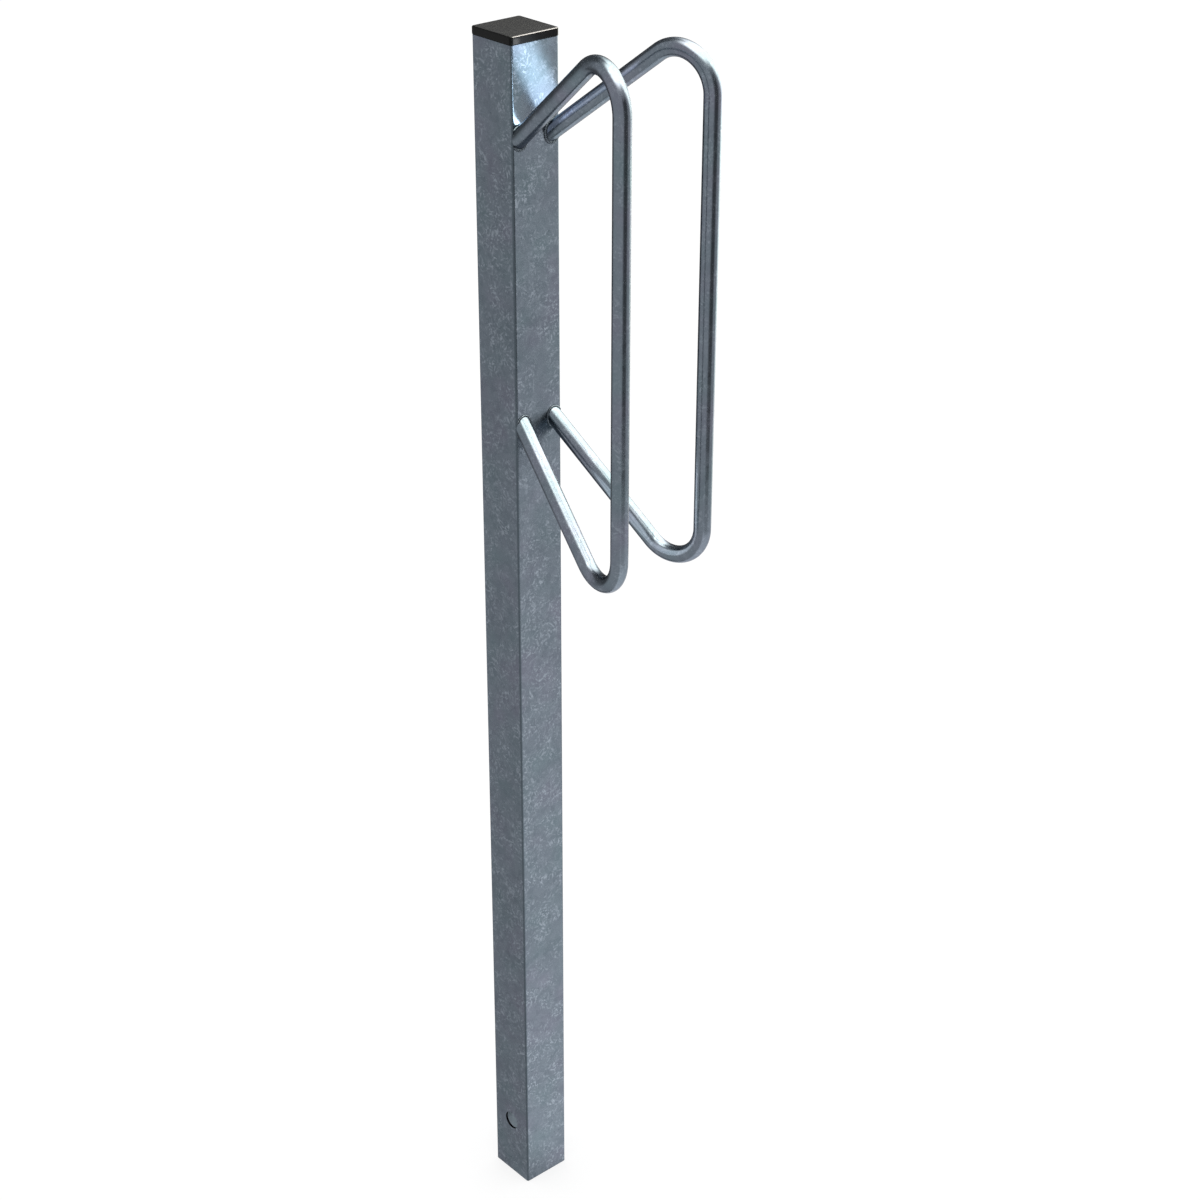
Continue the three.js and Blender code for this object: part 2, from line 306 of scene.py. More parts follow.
class FinishTree(Tree):
    """A material's nodes, with patterns on the piece's Object coordinates."""

    def __init__(self, name):
        self.material = bpy.data.materials.new(name)
        self.material.use_nodes = True
        super().__init__(self.material.node_tree)
        self.shader = self.tree.nodes["Principled BSDF"]
        self.place = self.node("ShaderNodeTexCoord").outputs["Object"]

    def noise(self, grain, detail=2.0, roughness=0.5, place=None, distortion=0.0):
        """Soft blots about one grain across, from 0 to 1."""
        return self.node("ShaderNodeTexNoise", {
            "Vector": place or self.place, "Scale": 1 / grain, "Detail": detail,
            "Roughness": roughness, "Distortion": distortion,
        }).outputs["Fac"]

    def cells(self, size, place=None):
        """Cells of about one size, each with its own colour and the distance from its centre."""
        inputs = {"Vector": place or self.place, "Scale": 1 / size}
        return self.node("ShaderNodeTexVoronoi", inputs).outputs

    def ramp(self, value, low, high, bottom=0.0, top=1.0):
        """The value stretched so that low becomes bottom and high becomes top."""
        return self.node("ShaderNodeMapRange", {
            "Value": value, "From Min": low, "From Max": high, "To Min": bottom, "To Max": top,
        }).outputs["Result"]

    def mix(self, amount, first, second, blend="MIX"):
        """The first colour, turned towards the second by the amount."""
        made = self.node("ShaderNodeMix", data_type="RGBA", blend_type=blend)
        self.feed(made.inputs["Factor"], amount)
        for name, value in (("A", first), ("B", second)):
            socket = next(s for s in made.inputs if s.name == name and s.type == "RGBA")
            self.feed(socket, value if isinstance(value, bpy.types.NodeSocket) else (*value, 1))
        return next(s for s in made.outputs if s.type == "RGBA")

    def tint(self, tone, pattern, strength, colour_there):
        """The tone, turned towards another colour where the pattern shows."""
        return self.mix(self.math("MULTIPLY", pattern, strength), tone, colour_there)

    def bump(self, height, distance, strength):
        return self.node("ShaderNodeBump", {
            "Height": height, "Distance": distance, "Strength": strength,
        }).outputs["Normal"]

    def set_shader(self, values):
        for name, value in values.items():
            self.feed(self.shader.inputs[name], value)

    def glow_only(self, glow):
        """Puts a glow, or a glow with a paint, in place of the shader."""
        self.tree.nodes.remove(self.shader)
        self.feed(self.tree.nodes["Material Output"].inputs["Surface"], glow)


# Grain sizes and reliefs of the finishes, and the tint of the zinc's rim
CLOUD_GRAIN = 70 * MM
BLOOM_GRAIN = 45 * MM
CRYSTAL_SIZE = 7 * MM
THICKET_GRAIN = 20 * MM
FROND_GRAIN = 2.6 * MM
FROND_STRETCH = (1.0, 0.22, 1.0)
SPECKLE_GRAIN = 1.5 * MM
PIT_SPACING = 13 * MM
FLECK_SPACING = 13 * MM
DRILL_MARK_GRAIN = 0.8 * MM
PLASTIC_GRAIN = 0.45 * MM
SCUFF_GRAIN = 9 * MM
DUST_GRAIN = 24 * MM
ZINC_RELIEF = 0.06 * MM
PLASTIC_RELIEF = 0.012 * MM
ZINC_RIM = (0.6, 0.6, 0.62, 1.0)

# Where a pattern is nothing and where it is full, in its noise, in cells from a spot's centre or in
# the upward part of the surface's normal
FROND_RANGE = (0.50, 0.66)
THICKET_RANGE = (0.38, 0.60)
CLOUD_RANGE = (0.3, 0.7)
SPECKLE_RANGE = (0.3, 0.7)
VIOLET_RANGE = (0.52, 0.70)
GREEN_RANGE = (0.48, 0.30)
PIT_RANGE = (0.10, 0.04)
FLECK_RANGE = (0.08, 0.03)
BORE_CLOUD_RANGE = (0.35, 0.65)
DRILL_MARK_RANGE = (0.4, 0.6)
SCUFF_RANGE = (0.55, 0.72)
DUST_RANGE = (0.2, 0.8)
LEAST_DUST = 0.7
DUSTY_SLOPE_RANGE = (0.8, 1.0)

# How much rougher a pattern makes its finish, the plastic's own roughness, and how high a pattern
# stands next to the zinc's speckle
CRYSTAL_ROUGHNESS = 0.08
SPECKLE_ROUGHNESS = 0.05
PLASTIC_ROUGHNESS = 0.22
GRAIN_ROUGHNESS = 0.06
SCUFF_ROUGHNESS = 0.05
FROND_HEIGHT = -0.6
PIT_HEIGHT = -1.5


def painted_corner_shade_and_dark_foot(t):
    """Where the zinc is painted darker: painted shade along the post's upright corners, standing in for
    their dark reflection, and a darker line along the foot's bottom edge.
    """
    post = bpy.context.scene.rack_post
    half = post_size()[0]
    apart = t.node("ShaderNodeSeparateXYZ", {"Vector": t.place}).outputs
    inner = t.math("MINIMUM", t.math("ABSOLUTE", apart["X"]), t.math("ABSOLUTE", apart["Y"]))
    corner = t.ramp(inner, half - post.corner_radius, half - post.corner_radius / 2)
    foot = t.ramp(apart["Z"], 4 * post.edge_break, post.edge_break)
    return t.math("MAXIMUM", corner, foot)


def galvanised(name, roughness, contrast, relief_share, shade, edges=None):
    """Hot-dip zinc: soft clouds, crystals, thickets of fronds, dark pits and pale flecks, and painted
    shade along the edges where a mask for it is given.
    """
    finish = bpy.context.scene.rack_finish
    t = FinishTree(name)
    crystals = t.cells(CRYSTAL_SIZE)["Color"]
    crystal_tone = t.node("ShaderNodeSeparateColor", {"Color": crystals}).outputs
    lean = t.vector_math("MULTIPLY", crystals, (math.tau, math.tau, math.tau))
    turned = t.node("ShaderNodeVectorRotate", {"Vector": t.place, "Rotation": lean},
                    rotation_type="EULER_XYZ").outputs[0]
    along = t.node("ShaderNodeMapping", {"Vector": turned, "Scale": FROND_STRETCH}).outputs[0]
    fronds = t.ramp(t.noise(FROND_GRAIN, place=along), *FROND_RANGE)
    thickets = t.ramp(t.noise(THICKET_GRAIN, detail=3.0, roughness=0.6), *THICKET_RANGE)
    fronds = t.math("MULTIPLY", fronds, thickets)
    clouds = t.ramp(t.noise(CLOUD_GRAIN, detail=4.0, roughness=0.6), *CLOUD_RANGE)
    bloom = t.noise(BLOOM_GRAIN, detail=1.0)
    speckle = t.ramp(t.noise(SPECKLE_GRAIN, detail=3.0, roughness=0.65), *SPECKLE_RANGE)
    pits = t.ramp(t.cells(PIT_SPACING)["Distance"], *PIT_RANGE)
    flecks = t.ramp(t.cells(FLECK_SPACING, place=turned)["Distance"], *FLECK_RANGE)

    # Each pattern, how strongly it shows and the colour that it brings
    layers = [
        (t.ramp(bloom, *VIOLET_RANGE), 0.7, finish.zinc_violet),
        (t.ramp(bloom, *GREEN_RANGE), 0.5, finish.zinc_green),
        (clouds, 0.3 * contrast, finish.zinc_dark),
        (crystal_tone[0], 0.2 * contrast, finish.zinc_light),
        (speckle, 0.35 * contrast, finish.zinc_dark),
        (pits, 0.6 * contrast, finish.zinc_dark),
        (fronds, 0.8 * contrast, finish.zinc_light),
        (flecks, 0.5 * contrast, finish.zinc_light),
    ]
    # Painted shade: the post's corners, and the darker line at its foot, turned towards dark zinc
    if edges:
        layers.append((edges(t), 0.85, finish.zinc_dark))
    tone = finish.zinc
    for pattern, strength, colour_there in layers:
        tone = t.tint(tone, pattern, strength, colour_there)
    tone = t.mix(1.0, tone, (shade, shade, shade), "MULTIPLY")

    rough = t.plus(roughness - CRYSTAL_ROUGHNESS / 2, crystal_tone[1], CRYSTAL_ROUGHNESS)
    rough = t.plus(rough, speckle, SPECKLE_ROUGHNESS)
    relief = t.plus(t.plus(speckle, fronds, FROND_HEIGHT), pits, PIT_HEIGHT)
    t.set_shader({
        "Base Color": tone, "Metallic": 1.0, "Specular Tint": ZINC_RIM, "Roughness": rough,
        "Normal": t.bump(relief, ZINC_RELIEF, relief_share),
    })
    return t.material


def bore_zinc():
    """The dull, cloudy zinc inside the post."""
    finish = bpy.context.scene.rack_finish
    t = FinishTree("bore_zinc")
    clouds = t.ramp(t.noise(CRYSTAL_SIZE, detail=4.0, roughness=0.65), *BORE_CLOUD_RANGE)
    t.set_shader({
        "Base Color": t.tint(finish.bore, clouds, 0.3, finish.zinc_dark),
        "Metallic": 0.2, "Roughness": 0.6, "Normal": t.bump(clouds, ZINC_RELIEF, strength=0.5),
    })
    return t.material


def drilled_wall():
    """The wall of the drilled hole, painted near black as its shadow, with faint drill marks."""
    finish = bpy.context.scene.rack_finish
    t = FinishTree("drilled_wall")
    marks = t.ramp(t.noise(DRILL_MARK_GRAIN), *DRILL_MARK_RANGE)
    t.set_shader({
        "Base Color": t.tint(finish.drilled, marks, 0.35, finish.plastic),
        "Metallic": 0.0, "Specular IOR Level": 0.0, "Roughness": 0.9,
        "Normal": t.bump(marks, ZINC_RELIEF, strength=0.5),
    })
    return t.material


def black_plastic():
    """Moulded black plastic with a fine grain, a little dust and soft scuffs."""
    finish = bpy.context.scene.rack_finish
    t = FinishTree("black_plastic")
    grain = t.noise(PLASTIC_GRAIN)
    clouds = t.ramp(t.noise(DUST_GRAIN, detail=5.0, roughness=0.7), *DUST_RANGE, LEAST_DUST)
    normal = t.node("ShaderNodeNewGeometry").outputs["Normal"]
    slope = t.node("ShaderNodeSeparateXYZ", {"Vector": normal}).outputs["Z"]
    dust = t.math("MULTIPLY", clouds, t.ramp(slope, *DUSTY_SLOPE_RANGE))
    scuffs = t.ramp(t.noise(SCUFF_GRAIN, detail=4.0, distortion=1.5), *SCUFF_RANGE)
    rough = t.plus(t.plus(PLASTIC_ROUGHNESS, grain, GRAIN_ROUGHNESS), scuffs, SCUFF_ROUGHNESS)
    t.set_shader({
        "Base Color": t.mix(dust, finish.plastic, finish.plastic_dust),
        "Metallic": 0.0, "Specular IOR Level": 0.08, "Roughness": rough,
        "Normal": t.bump(grain, PLASTIC_RELIEF, strength=0.1),
    })
    return t.material


# Post


def post_size():
    """Half the post's side and its length, from the frame."""
    low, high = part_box("post")
    return high.x, high.z


def circle_ring(radius, place, sides):
    """A circle across the X axis."""
    return [
        Vector((place, radius * math.cos(math.tau * i / sides), radius * math.sin(math.tau * i / sides)))
        for i in range(sides)
    ]


class RACK_OT_post(bpy.types.Operator):
    """Makes the square post with its anchor hole"""

    bl_idname = "rack.post"
    bl_label = "Post"

    def execute(self, context):
        s = context.scene.rack_post
        half, top = post_size()
        bore = half - s.wall
        broken = s.edge_break

        def outer(height, inset=0.0):
            return square_ring(half - inset, s.corner_radius - inset, s.corner_steps, broken, height)

        def inner(height, inset=0.0):
            return square_ring(bore + inset, s.bore_corner_radius + inset, s.corner_steps, broken, height)

        mesh = loft("post_tube", [
            outer(0.0, broken), outer(broken), outer(2 * broken),
            outer(top - 2 * broken), outer(top - broken), outer(top, broken),
            inner(top, broken), inner(top - broken), inner(top - 2 * broken),
            inner(2 * broken), inner(broken), inner(0.0, broken),
        ], closed=True)
        post = link("post_tube", mesh)
        self.drill(post, s, half)
        mesh = bake(post)
        shade_smooth(mesh)
        self.paint(mesh, s, half)
        dress(post, "galvanised_steel", "post")
        return {"FINISHED"}

    def drill(self, post, s, half):
        """Cuts the anchor hole, with a small bevel at the outer faces."""
        radius = s.hole_diameter / 2
        past = half + s.wall
        flare = radius + s.edge_break
        spread = flare + s.wall
        profile = [(-past, spread), (-half, flare), (s.edge_break - half, radius),
                   (half - s.edge_break, radius), (half, flare), (past, spread)]
        rings = [circle_ring(size, place, s.hole_sides) for place, size in profile]
        drill = link("drill", loft("drill", rings))
        drill.data.transform(Matrix.Translation(UP * s.hole_height))
        cut = post.modifiers.new("Anchor hole", "BOOLEAN")
        cut.operation = "DIFFERENCE"
        cut.solver = "EXACT"
        cut.object = drill
        bake(post)
        bpy.data.objects.remove(drill)

    def paint(self, mesh, s, half):
        """Zinc outside with painted shade on its corners, a duller finish in the bore, and painted shade
        on the wall of the hole.
        """
        zinc = galvanised("galvanised_post", roughness=0.22, contrast=1.2, relief_share=0.10, shade=0.95,
                          edges=painted_corner_shade_and_dark_foot)
        mesh.materials.clear()
        for finish in (zinc, drilled_wall(), bore_zinc()):
            mesh.materials.append(finish)
        # Which of the finishes above the hole's wall, painted as shade, and the bore have
        drilled = 1
        dull = 2
        reach = s.hole_diameter / 2 + s.edge_break / 4
        most_sideways = math.cos(math.radians(60))
        bore = half - s.wall
        for face in mesh.polygons:
            centre = face.center
            out = Vector((0, centre.y, centre.z - s.hole_height))
            in_wall = bore < abs(centre.x) < half - s.edge_break / 4
            if in_wall and out.length < reach and abs(face.normal.x) < most_sideways:
                face.material_index = drilled
            elif max(abs(centre.x), abs(centre.y)) < bore + s.edge_break / 2:
                face.material_index = dull


# Cap


class RACK_OT_end_cap(bpy.types.Operator):
    """Makes the black cap with its hollow, finned plug"""

    bl_idname = "rack.end_cap"
    bl_label = "End cap"

    def execute(self, context):
        s = context.scene.rack_cap
        p = context.scene.rack_post
        low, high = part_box("end_cap")
        half = high.x
        top = high.z
        seat = top - s.head_height
        foot = low.z
        bore = post_size()[0] - p.wall
        plug = bore - s.plug_clearance
        fin = bore - s.fin_clearance
        support = p.edge_break
        rings = []

        def add(half_side, corner, height):
            rings.append(square_ring(half_side, corner, p.corner_steps, support, height))

        def add_round_edge(radius, middle, start):
            """A quarter round about a middle height, from a start in quarter turns."""
            for step in range(s.edge_steps + 1):
                turn = (start + step / s.edge_steps) * math.pi / 2
                inset = radius * (1 - math.cos(turn))
                add(half - inset, s.head_corner_radius - inset, middle + radius * math.sin(turn))

        cavity = plug - s.plug_wall
        corner = p.bore_corner_radius
        roof = seat - s.plug_roof
        add(cavity, corner, roof)
        add(cavity, corner, foot)
        add(plug - s.plug_lead_in, corner, foot)
        add(plug, corner, foot + s.plug_lead_in)
        pitch = (seat - foot - s.plug_lead_in) / (s.fin_count + 1)
        for number in range(s.fin_count, 0, -1):
            root = seat - number * pitch
            add(plug, corner, root)
            add(fin, corner, root + s.fin_rise)
            add(fin, corner, root + s.fin_rise + s.fin_tip)
            add(plug, corner, root + s.fin_root)
        add(plug, corner, seat)
        add(half - 2 * s.lower_edge_radius, s.head_corner_radius, seat)
        add_round_edge(s.lower_edge_radius, seat + s.lower_edge_radius, -1)
        add(half, s.head_corner_radius, seat + 2 * s.lower_edge_radius)
        add(half, s.head_corner_radius, top - s.edge_radius - support)
        add_round_edge(s.edge_radius, top - s.edge_radius, 0)
        add(half - s.edge_radius - support, s.head_corner_radius - s.edge_radius, top)
        mesh = loft("end_cap_moulding", rings)
        shade_smooth(mesh)
        mesh.materials.append(black_plastic())
        dress(link("end_cap_moulding", mesh), "black_plastic", "end_cap")
        return {"FINISHED"}


# Hoops


def hoop_point(s, side, out, height):
    """A place in the hoop's own plane, out from the face and up, as a place on the rack."""
    half = post_size()[0]
    offset = half - s.bar_diameter / 2
    return Vector((side * (offset + out * math.sin(s.splay)), -half - out * math.cos(s.splay), height))


def leg(s, side, where):
    """The foot of a leg, at the middle of its bar, the direction in which the leg leaves it, and the
    corner where it would meet the upright if the bar weren't bent round."""
    height, rise = (
        (s.upper_foot, s.upper_angle) if where == "upper" else (s.lower_foot, -s.lower_angle)
    )
    foot = hoop_point(s, side, 0.0, height)
    tip = hoop_point(s, side, s.reach, height + s.reach * math.tan(rise))
    return foot, (tip - foot).normalized(), tip


def polyline(name, points):
    mesh = bpy.data.meshes.new(name)
    mesh.from_pydata(points, [(i, i + 1) for i in range(len(points) - 1)], [])
    return link(name, mesh)


def new_geometry_tree(name, inputs):
    """A geometry tree that takes a path and the named inputs."""
    group = bpy.data.node_groups.new(name, "GeometryNodeTree")
    group.interface.new_socket(name="Geometry", in_out="OUTPUT", socket_type="NodeSocketGeometry")
    for label, kind in {"Path": "Geometry", **inputs}.items():
        group.interface.new_socket(name=label, in_out="INPUT", socket_type=f"NodeSocket{kind}")
    t = Tree(group)
    start = t.node("NodeGroupInput").outputs
    end = t.node("NodeGroupOutput")
    return group, t, start, end


def finish_tree(t, start, end, mesh):
    """Smooth shading, one plain mesh and its material."""
    smooth = t.node("GeometryNodeSetShadeSmooth", {"Geometry": mesh}).outputs[0]
    real = t.node("GeometryNodeRealizeInstances", {"Geometry": smooth}).outputs[0]
    painted = t.node("GeometryNodeSetMaterial", {"Geometry": real, "Material": start["Material"]})
    t.feed(end.inputs["Geometry"], painted.outputs[0])


def bent_bar_tree():
    """A round bar along a path, bent at the path's corners and cut flush in front of the post."""
    group, t, start, end = new_geometry_tree("Bent bar", {
        "Bar Radius": "Float", "Bend Radius": "Float", "Bar Sides": "Int", "Bend Steps": "Int",
        "Cutter Size": "Vector", "Cutter Place": "Vector", "Material": "Material",
    })
    path = t.node("GeometryNodeMeshToCurve", {"Mesh": start["Path"]}).outputs[0]
    bent = t.node("GeometryNodeFilletCurve", {
        "Curve": path, "Count": start["Bend Steps"], "Radius": start["Bend Radius"],
    }, mode="POLY").outputs[0]
    section = t.node("GeometryNodeCurvePrimitiveCircle", {
        "Resolution": start["Bar Sides"], "Radius": start["Bar Radius"],
    }).outputs[0]
    bar = t.node("GeometryNodeCurveToMesh", {
        "Curve": bent, "Profile Curve": section, "Fill Caps": True,
    }).outputs[0]
    block = t.node("GeometryNodeMeshCube", {"Size": start["Cutter Size"]}).outputs["Mesh"]
    cutter = t.node("GeometryNodeTransform", {
        "Geometry": block, "Translation": start["Cutter Place"],
    }).outputs[0]
    cut = t.node("GeometryNodeMeshBoolean", {"Mesh 1": bar, "Mesh 2": cutter}, operation="DIFFERENCE")
    finish_tree(t, start, end, cut.outputs[0])
    return group


def run_tree(piece, group, values):
    """Runs a geometry tree on the piece and keeps the mesh that it makes."""
    modifier = piece.modifiers.new(group.name, "NODES")
    modifier.node_group = group
    for item in group.interface.items_tree:
        if item.item_type == "SOCKET" and item.in_out == "INPUT" and item.name in values:
            modifier[item.identifier] = values[item.name]
    return bake(piece)


class RACK_OT_hoops(bpy.types.Operator):
    """Makes the two bent bars"""

    bl_idname = "rack.hoops"
    bl_label = "Hoops"

    def execute(self, context):
        s = context.scene.rack_hoop
        half, top = post_size()
        zinc = galvanised("galvanised_bar", roughness=0.20, contrast=0.7, relief_share=0.03, shade=1.12)
        group = bent_bar_tree()
        run_in = s.bar_diameter
        cutter_size = Vector((4 * half, 2 * half, 2 * top))
        for name, side in SIDES.items():
            upper_foot, upper_way, upper_tip = leg(s, side, "upper")
            lower_foot, lower_way, lower_tip = leg(s, side, "lower")
            hoop = polyline(f"bent_bar_{name}", [
                upper_foot - upper_way * run_in, upper_tip, lower_tip, lower_foot - lower_way * run_in,
            ])
            mesh = run_tree(hoop, group, {
                "Bar Radius": s.bar_diameter / 2, "Bar Sides": s.bar_sides,
                "Bend Radius": s.bend_radius, "Bend Steps": s.bend_steps,
                "Cutter Size": cutter_size,
                "Cutter Place": Vector((0, cutter_size.y / 2 - half - s.seat_gap, top)),
                "Material": zinc,
            })
            shade_smooth(mesh)
            dress(hoop, "galvanised_bar", f"hoop_{name}")
        return {"FINISHED"}


# Weld beads

# The sway of a bead's width: turns of the noise for each ripple, and the level that changes nothing
SWAY_SCALE = 0.4
SWAY_LEVEL = 0.62


def bead_tree():
    """A bead along a path, with ripples and an uneven width."""
    group, t, start, end = new_geometry_tree("Weld bead", {
        "Bead Radius": "Float", "Ripple Pitch": "Float", "Ripple Depth": "Float", "Path Step": "Float",
        "Bead Sides": "Int", "Seed": "Float", "Material": "Material",
    })
    path = t.node("GeometryNodeMeshToCurve", {"Mesh": start["Path"]}).outputs[0]
    fine = t.node("GeometryNodeResampleCurve", {"Curve": path, "Length": start["Path Step"]},
                  mode="LENGTH").outputs[0]
    run = t.node("GeometryNodeSplineParameter").outputs["Length"]
    phase = t.math("DIVIDE", run, start["Ripple Pitch"])
    ripple = t.math("ABSOLUTE", t.math("SINE", t.math("MULTIPLY", phase, math.pi)))
    ripple = t.math("MULTIPLY", t.math("SUBTRACT", ripple, 1.0), start["Ripple Depth"])
    sway = t.node("ShaderNodeTexNoise", {"W": t.math("ADD", phase, start["Seed"]), "Scale": SWAY_SCALE},
                  noise_dimensions="1D").outputs["Fac"]
    sway = t.math("MULTIPLY", t.math("SUBTRACT", sway, SWAY_LEVEL), start["Ripple Depth"])
    size = t.math("ADD", 1.0, t.math("ADD", ripple, sway))
    section = t.node("GeometryNodeCurvePrimitiveCircle", {
        "Resolution": start["Bead Sides"], "Radius": start["Bead Radius"],
    }).outputs[0]
    bead = t.node("GeometryNodeCurveToMesh", {
        "Curve": fine, "Profile Curve": section, "Scale": size, "Fill Caps": True,
    }).outputs[0]
    finish_tree(t, start, end, bead)
    return group


def bead_radius(w, where):
    return w.upper_bead_radius if where == "upper" else w.lower_bead_radius


def bead_path(s, w, side, where):
    """The oval where the bar meets the face, as far as it lies within the post's width."""
    half = post_size()[0]
    foot, way, _tip = leg(s, side, where)
    outward = Vector((0, -1, 0))
    along = (way - outward * way.dot(outward)).normalized()
    across = outward.cross(along)
    stretch = 1 / way.dot(outward)
    radius = s.bar_diameter / 2
    points = []
    steps = 2 * s.bar_sides
    for step in range(steps):
        turn = math.tau * step / steps
        points.append(foot + radius * (along * stretch * math.cos(turn) + across * math.sin(turn)))
    limit = half - bead_radius(w, where)
    inside = [side * point.x < limit for point in points]
    start = next(i for i in range(steps) if inside[i] and not inside[i - 1])
    path = []
    while inside[(start + len(path)) % steps] and len(path) < steps:
        path.append(points[(start + len(path)) % steps])
    return path


class RACK_OT_welds(bpy.types.Operator):
    """Makes the four weld beads"""

    bl_idname = "rack.welds"
    bl_label = "Weld beads"

    def execute(self, context):
        s = context.scene.rack_hoop
        w = context.scene.rack_weld
        # The beads' zinc is darkened to 0.65 as painted shade in the crease where each bar meets the face
        zinc = galvanised("galvanised_weld", roughness=0.36, contrast=1.0, relief_share=0.8, shade=0.65)
        group = bead_tree()
        for name, side in SIDES.items():
            for number, where in enumerate(FOOT_HEIGHTS):
                bead = polyline(f"bead_{where}_{name}", bead_path(s, w, side, where))
                run_tree(bead, group, {
                    "Bead Radius": bead_radius(w, where), "Bead Sides": w.bead_sides,
                    "Ripple Pitch": w.ripple_pitch, "Ripple Depth": w.ripple_depth,
                    "Path Step": w.path_step, "Seed": float(w.seed + side * (number + 1)),
                    "Material": zinc,
                })
                dress(bead, "galvanised_weld", f"weld_{where}_{name}")
        return {"FINISHED"}


# Stage

FLOOR_SIZE = 12000 * MM
RIG_CENTRE = Vector((0, -110, 1150)) * MM
RIG_RADIUS = 2300 * MM
DOME_STEP = 3
DOME_FOOT = -33
ZENITH = 90
MERGE_DISTANCE = 1 * MM
WHITE = (1.0, 1.0, 1.0)
WHITE_MINT = (0.99, 1.0, 0.88)
SKY_BLUE = (0.76, 0.88, 1.0)
LAVENDER = (0.82, 0.85, 1.0)
CREAM = (1.0, 0.95, 0.88)

# The floor's paint, its brightness under the studio light, and the glow that makes it white
FLOOR_PAINT = (0.3, 0.3, 0.3, 1.0)
PAINT_BRIGHTNESS = 0.27
FLOOR_GLOW = 0.74

# The floor's bright part in reflections: its turn in degrees, how softly it starts across that way,
# and how far out it goes from its near to its far level
LIT_TURN = 60
LIT_START = (-40 * MM, 60 * MM)
LIT_REACH = (100 * MM, 1400 * MM)

# The floor's dark part in reflections: its turn in degrees, how close to that way it lies, as a
# cosine, and how far out it darkens
DARK_TURN = 168
DARK_SPREAD = (0.72, 0.90)
DARK_REACH = (900 * MM, 2200 * MM)

# Columns of the dome's lamps: the turn, the rise of the foot and the fade of the foot, in degrees
SIDE_COLUMNS = [(22, 54, 10), (30, 44, 12), (50, 10, 40), (70, -34, 60), (84, -44, 44), (112, -44, 40),
                (118, -10, 60), (130, 14, 60), (150, 38, 40)]
OVERHEAD_COLUMNS = [(-180, 62, 16), (-140, 56, 20), (-80, 50, 14), (0, 48, 14), (40, 50, 16),
                    (120, 52, 20), (150, 64, 16), (180, 62, 16)]

# The stretch of each upper leg that glows: its start and end from the foot, its shift and its width
RIGHT_GLOW = (12 * MM, 150 * MM, 4 * MM, 32 * MM)
LEFT_GLOW = (10 * MM, 110 * MM, 0.5 * MM, 7 * MM)
LEFT_GLOW_SHARE = 3.2
GLOW_CLEARANCE = 1 * MM

# The gap's glow beside the right hoop's upper leg, by its place along, above and beside the leg
GAP_GLOW_OFFSET = Vector((65, 11, -26)) * MM
GAP_GLOW_SIZE = (120 * MM, 20 * MM)

# Upright panels for the post alone, at the front right, behind and ahead: the middle, the way that
# it faces as a turn in degrees, and the height and width of each
PANELS = {
    "face": (Vector((390, -500, 1020)) * MM, -135, (760 * MM, 380 * MM)),
    "back": (Vector((410, 900, 1000)) * MM, 0, (2000 * MM, 1780 * MM)),
    "front": (Vector((0, -1200, 740)) * MM, 180, (1040 * MM, 560 * MM)),
}

# The other lamps: where they are, by a middle or by a way and a distance from the cap, how the
# corner's lamp faces, as a turn and a rise in degrees, and how long and wide they are
SHEEN_PLACE = Vector((-8, -31.5, 1352)) * MM
SHEEN_SIZE = (92 * MM, 40 * MM)
BAND_PLACE = Vector((-12, -128, 925)) * MM
BAND_SIZE = (74 * MM, 90 * MM)
CAP_CORNER_PLACE = Vector((-15, -41.8, 1398.4)) * MM
CAP_CORNER_WAY = (-141, 14)
CAP_CORNER_SIZE = (8 * MM, 6 * MM)
CAP_EDGE_WAY = (62, 45)
CAP_EDGE_DISTANCE = 600 * MM
CAP_EDGE_SIZE = (400 * MM, 400 * MM)

# The light in the post's foot: its radius, how far it stands in front of the axis and below the hole
BORE_LIGHT_RADIUS = 5 * MM
BORE_LIGHT_SHIFT = 5 * MM
BORE_LIGHT_DROP = 32 * MM


def direction(turn, rise):
    """A direction by its turn from the rack's front towards its right, and its rise, in degrees."""
    turn = math.radians(turn)
    rise = math.radians(rise)
    return Vector((math.cos(rise) * math.sin(turn), -math.cos(rise) * math.cos(turn), math.sin(rise)))


def show_only_in_gloss(thing):
    for rays in ("camera", "diffuse", "shadow", "transmission", "volume_scatter"):
        setattr(thing, f"visible_{rays}", False)


def smooth_step(distance, soft):
    """How far a soft edge has faded in at a distance past its start."""
    if not soft:
        return float(distance >= 0)
    part = min(max(distance / soft, 0), 1)
    return part * part * (3 - 2 * part)


class DomeCard:
    """A part of the dome with its own brightness. Each column gives its turn, the rise of its foot and
    the degrees over which the foot fades in."""

    def __init__(self, brightness, columns, top=ZENITH, soft_top=0, soft_sides=0, tint=WHITE):
        self.glow = Vector(tint) * brightness
        self.columns = [Vector(column) for column in columns]
        self.top = top
        self.soft_top = soft_top
        self.soft_sides = soft_sides

    def weight(self, turn, rise):
        start = self.columns[0].x
        end = self.columns[-1].x
        turn = start + (turn - start) % 360
        if turn >= end:
            return 0.0
        before, after = next(pair for pair in zip(self.columns, self.columns[1:]) if turn < pair[1].x)
        _turn, foot, soft = before.lerp(after, (turn - before.x) / (after.x - before.x))
        return math.prod((
            smooth_step(rise - foot, soft), smooth_step(self.top - rise, self.soft_top),
            smooth_step(turn - start, self.soft_sides), smooth_step(end - turn, self.soft_sides),
        ))


def dark_flag(brightness, start, end, **edges):
    """A card between two turns that reaches down past the dome's foot."""
    below = DOME_FOOT - 1
    return DomeCard(brightness, [(start, below, 0), (end, below, 0)], **edges)


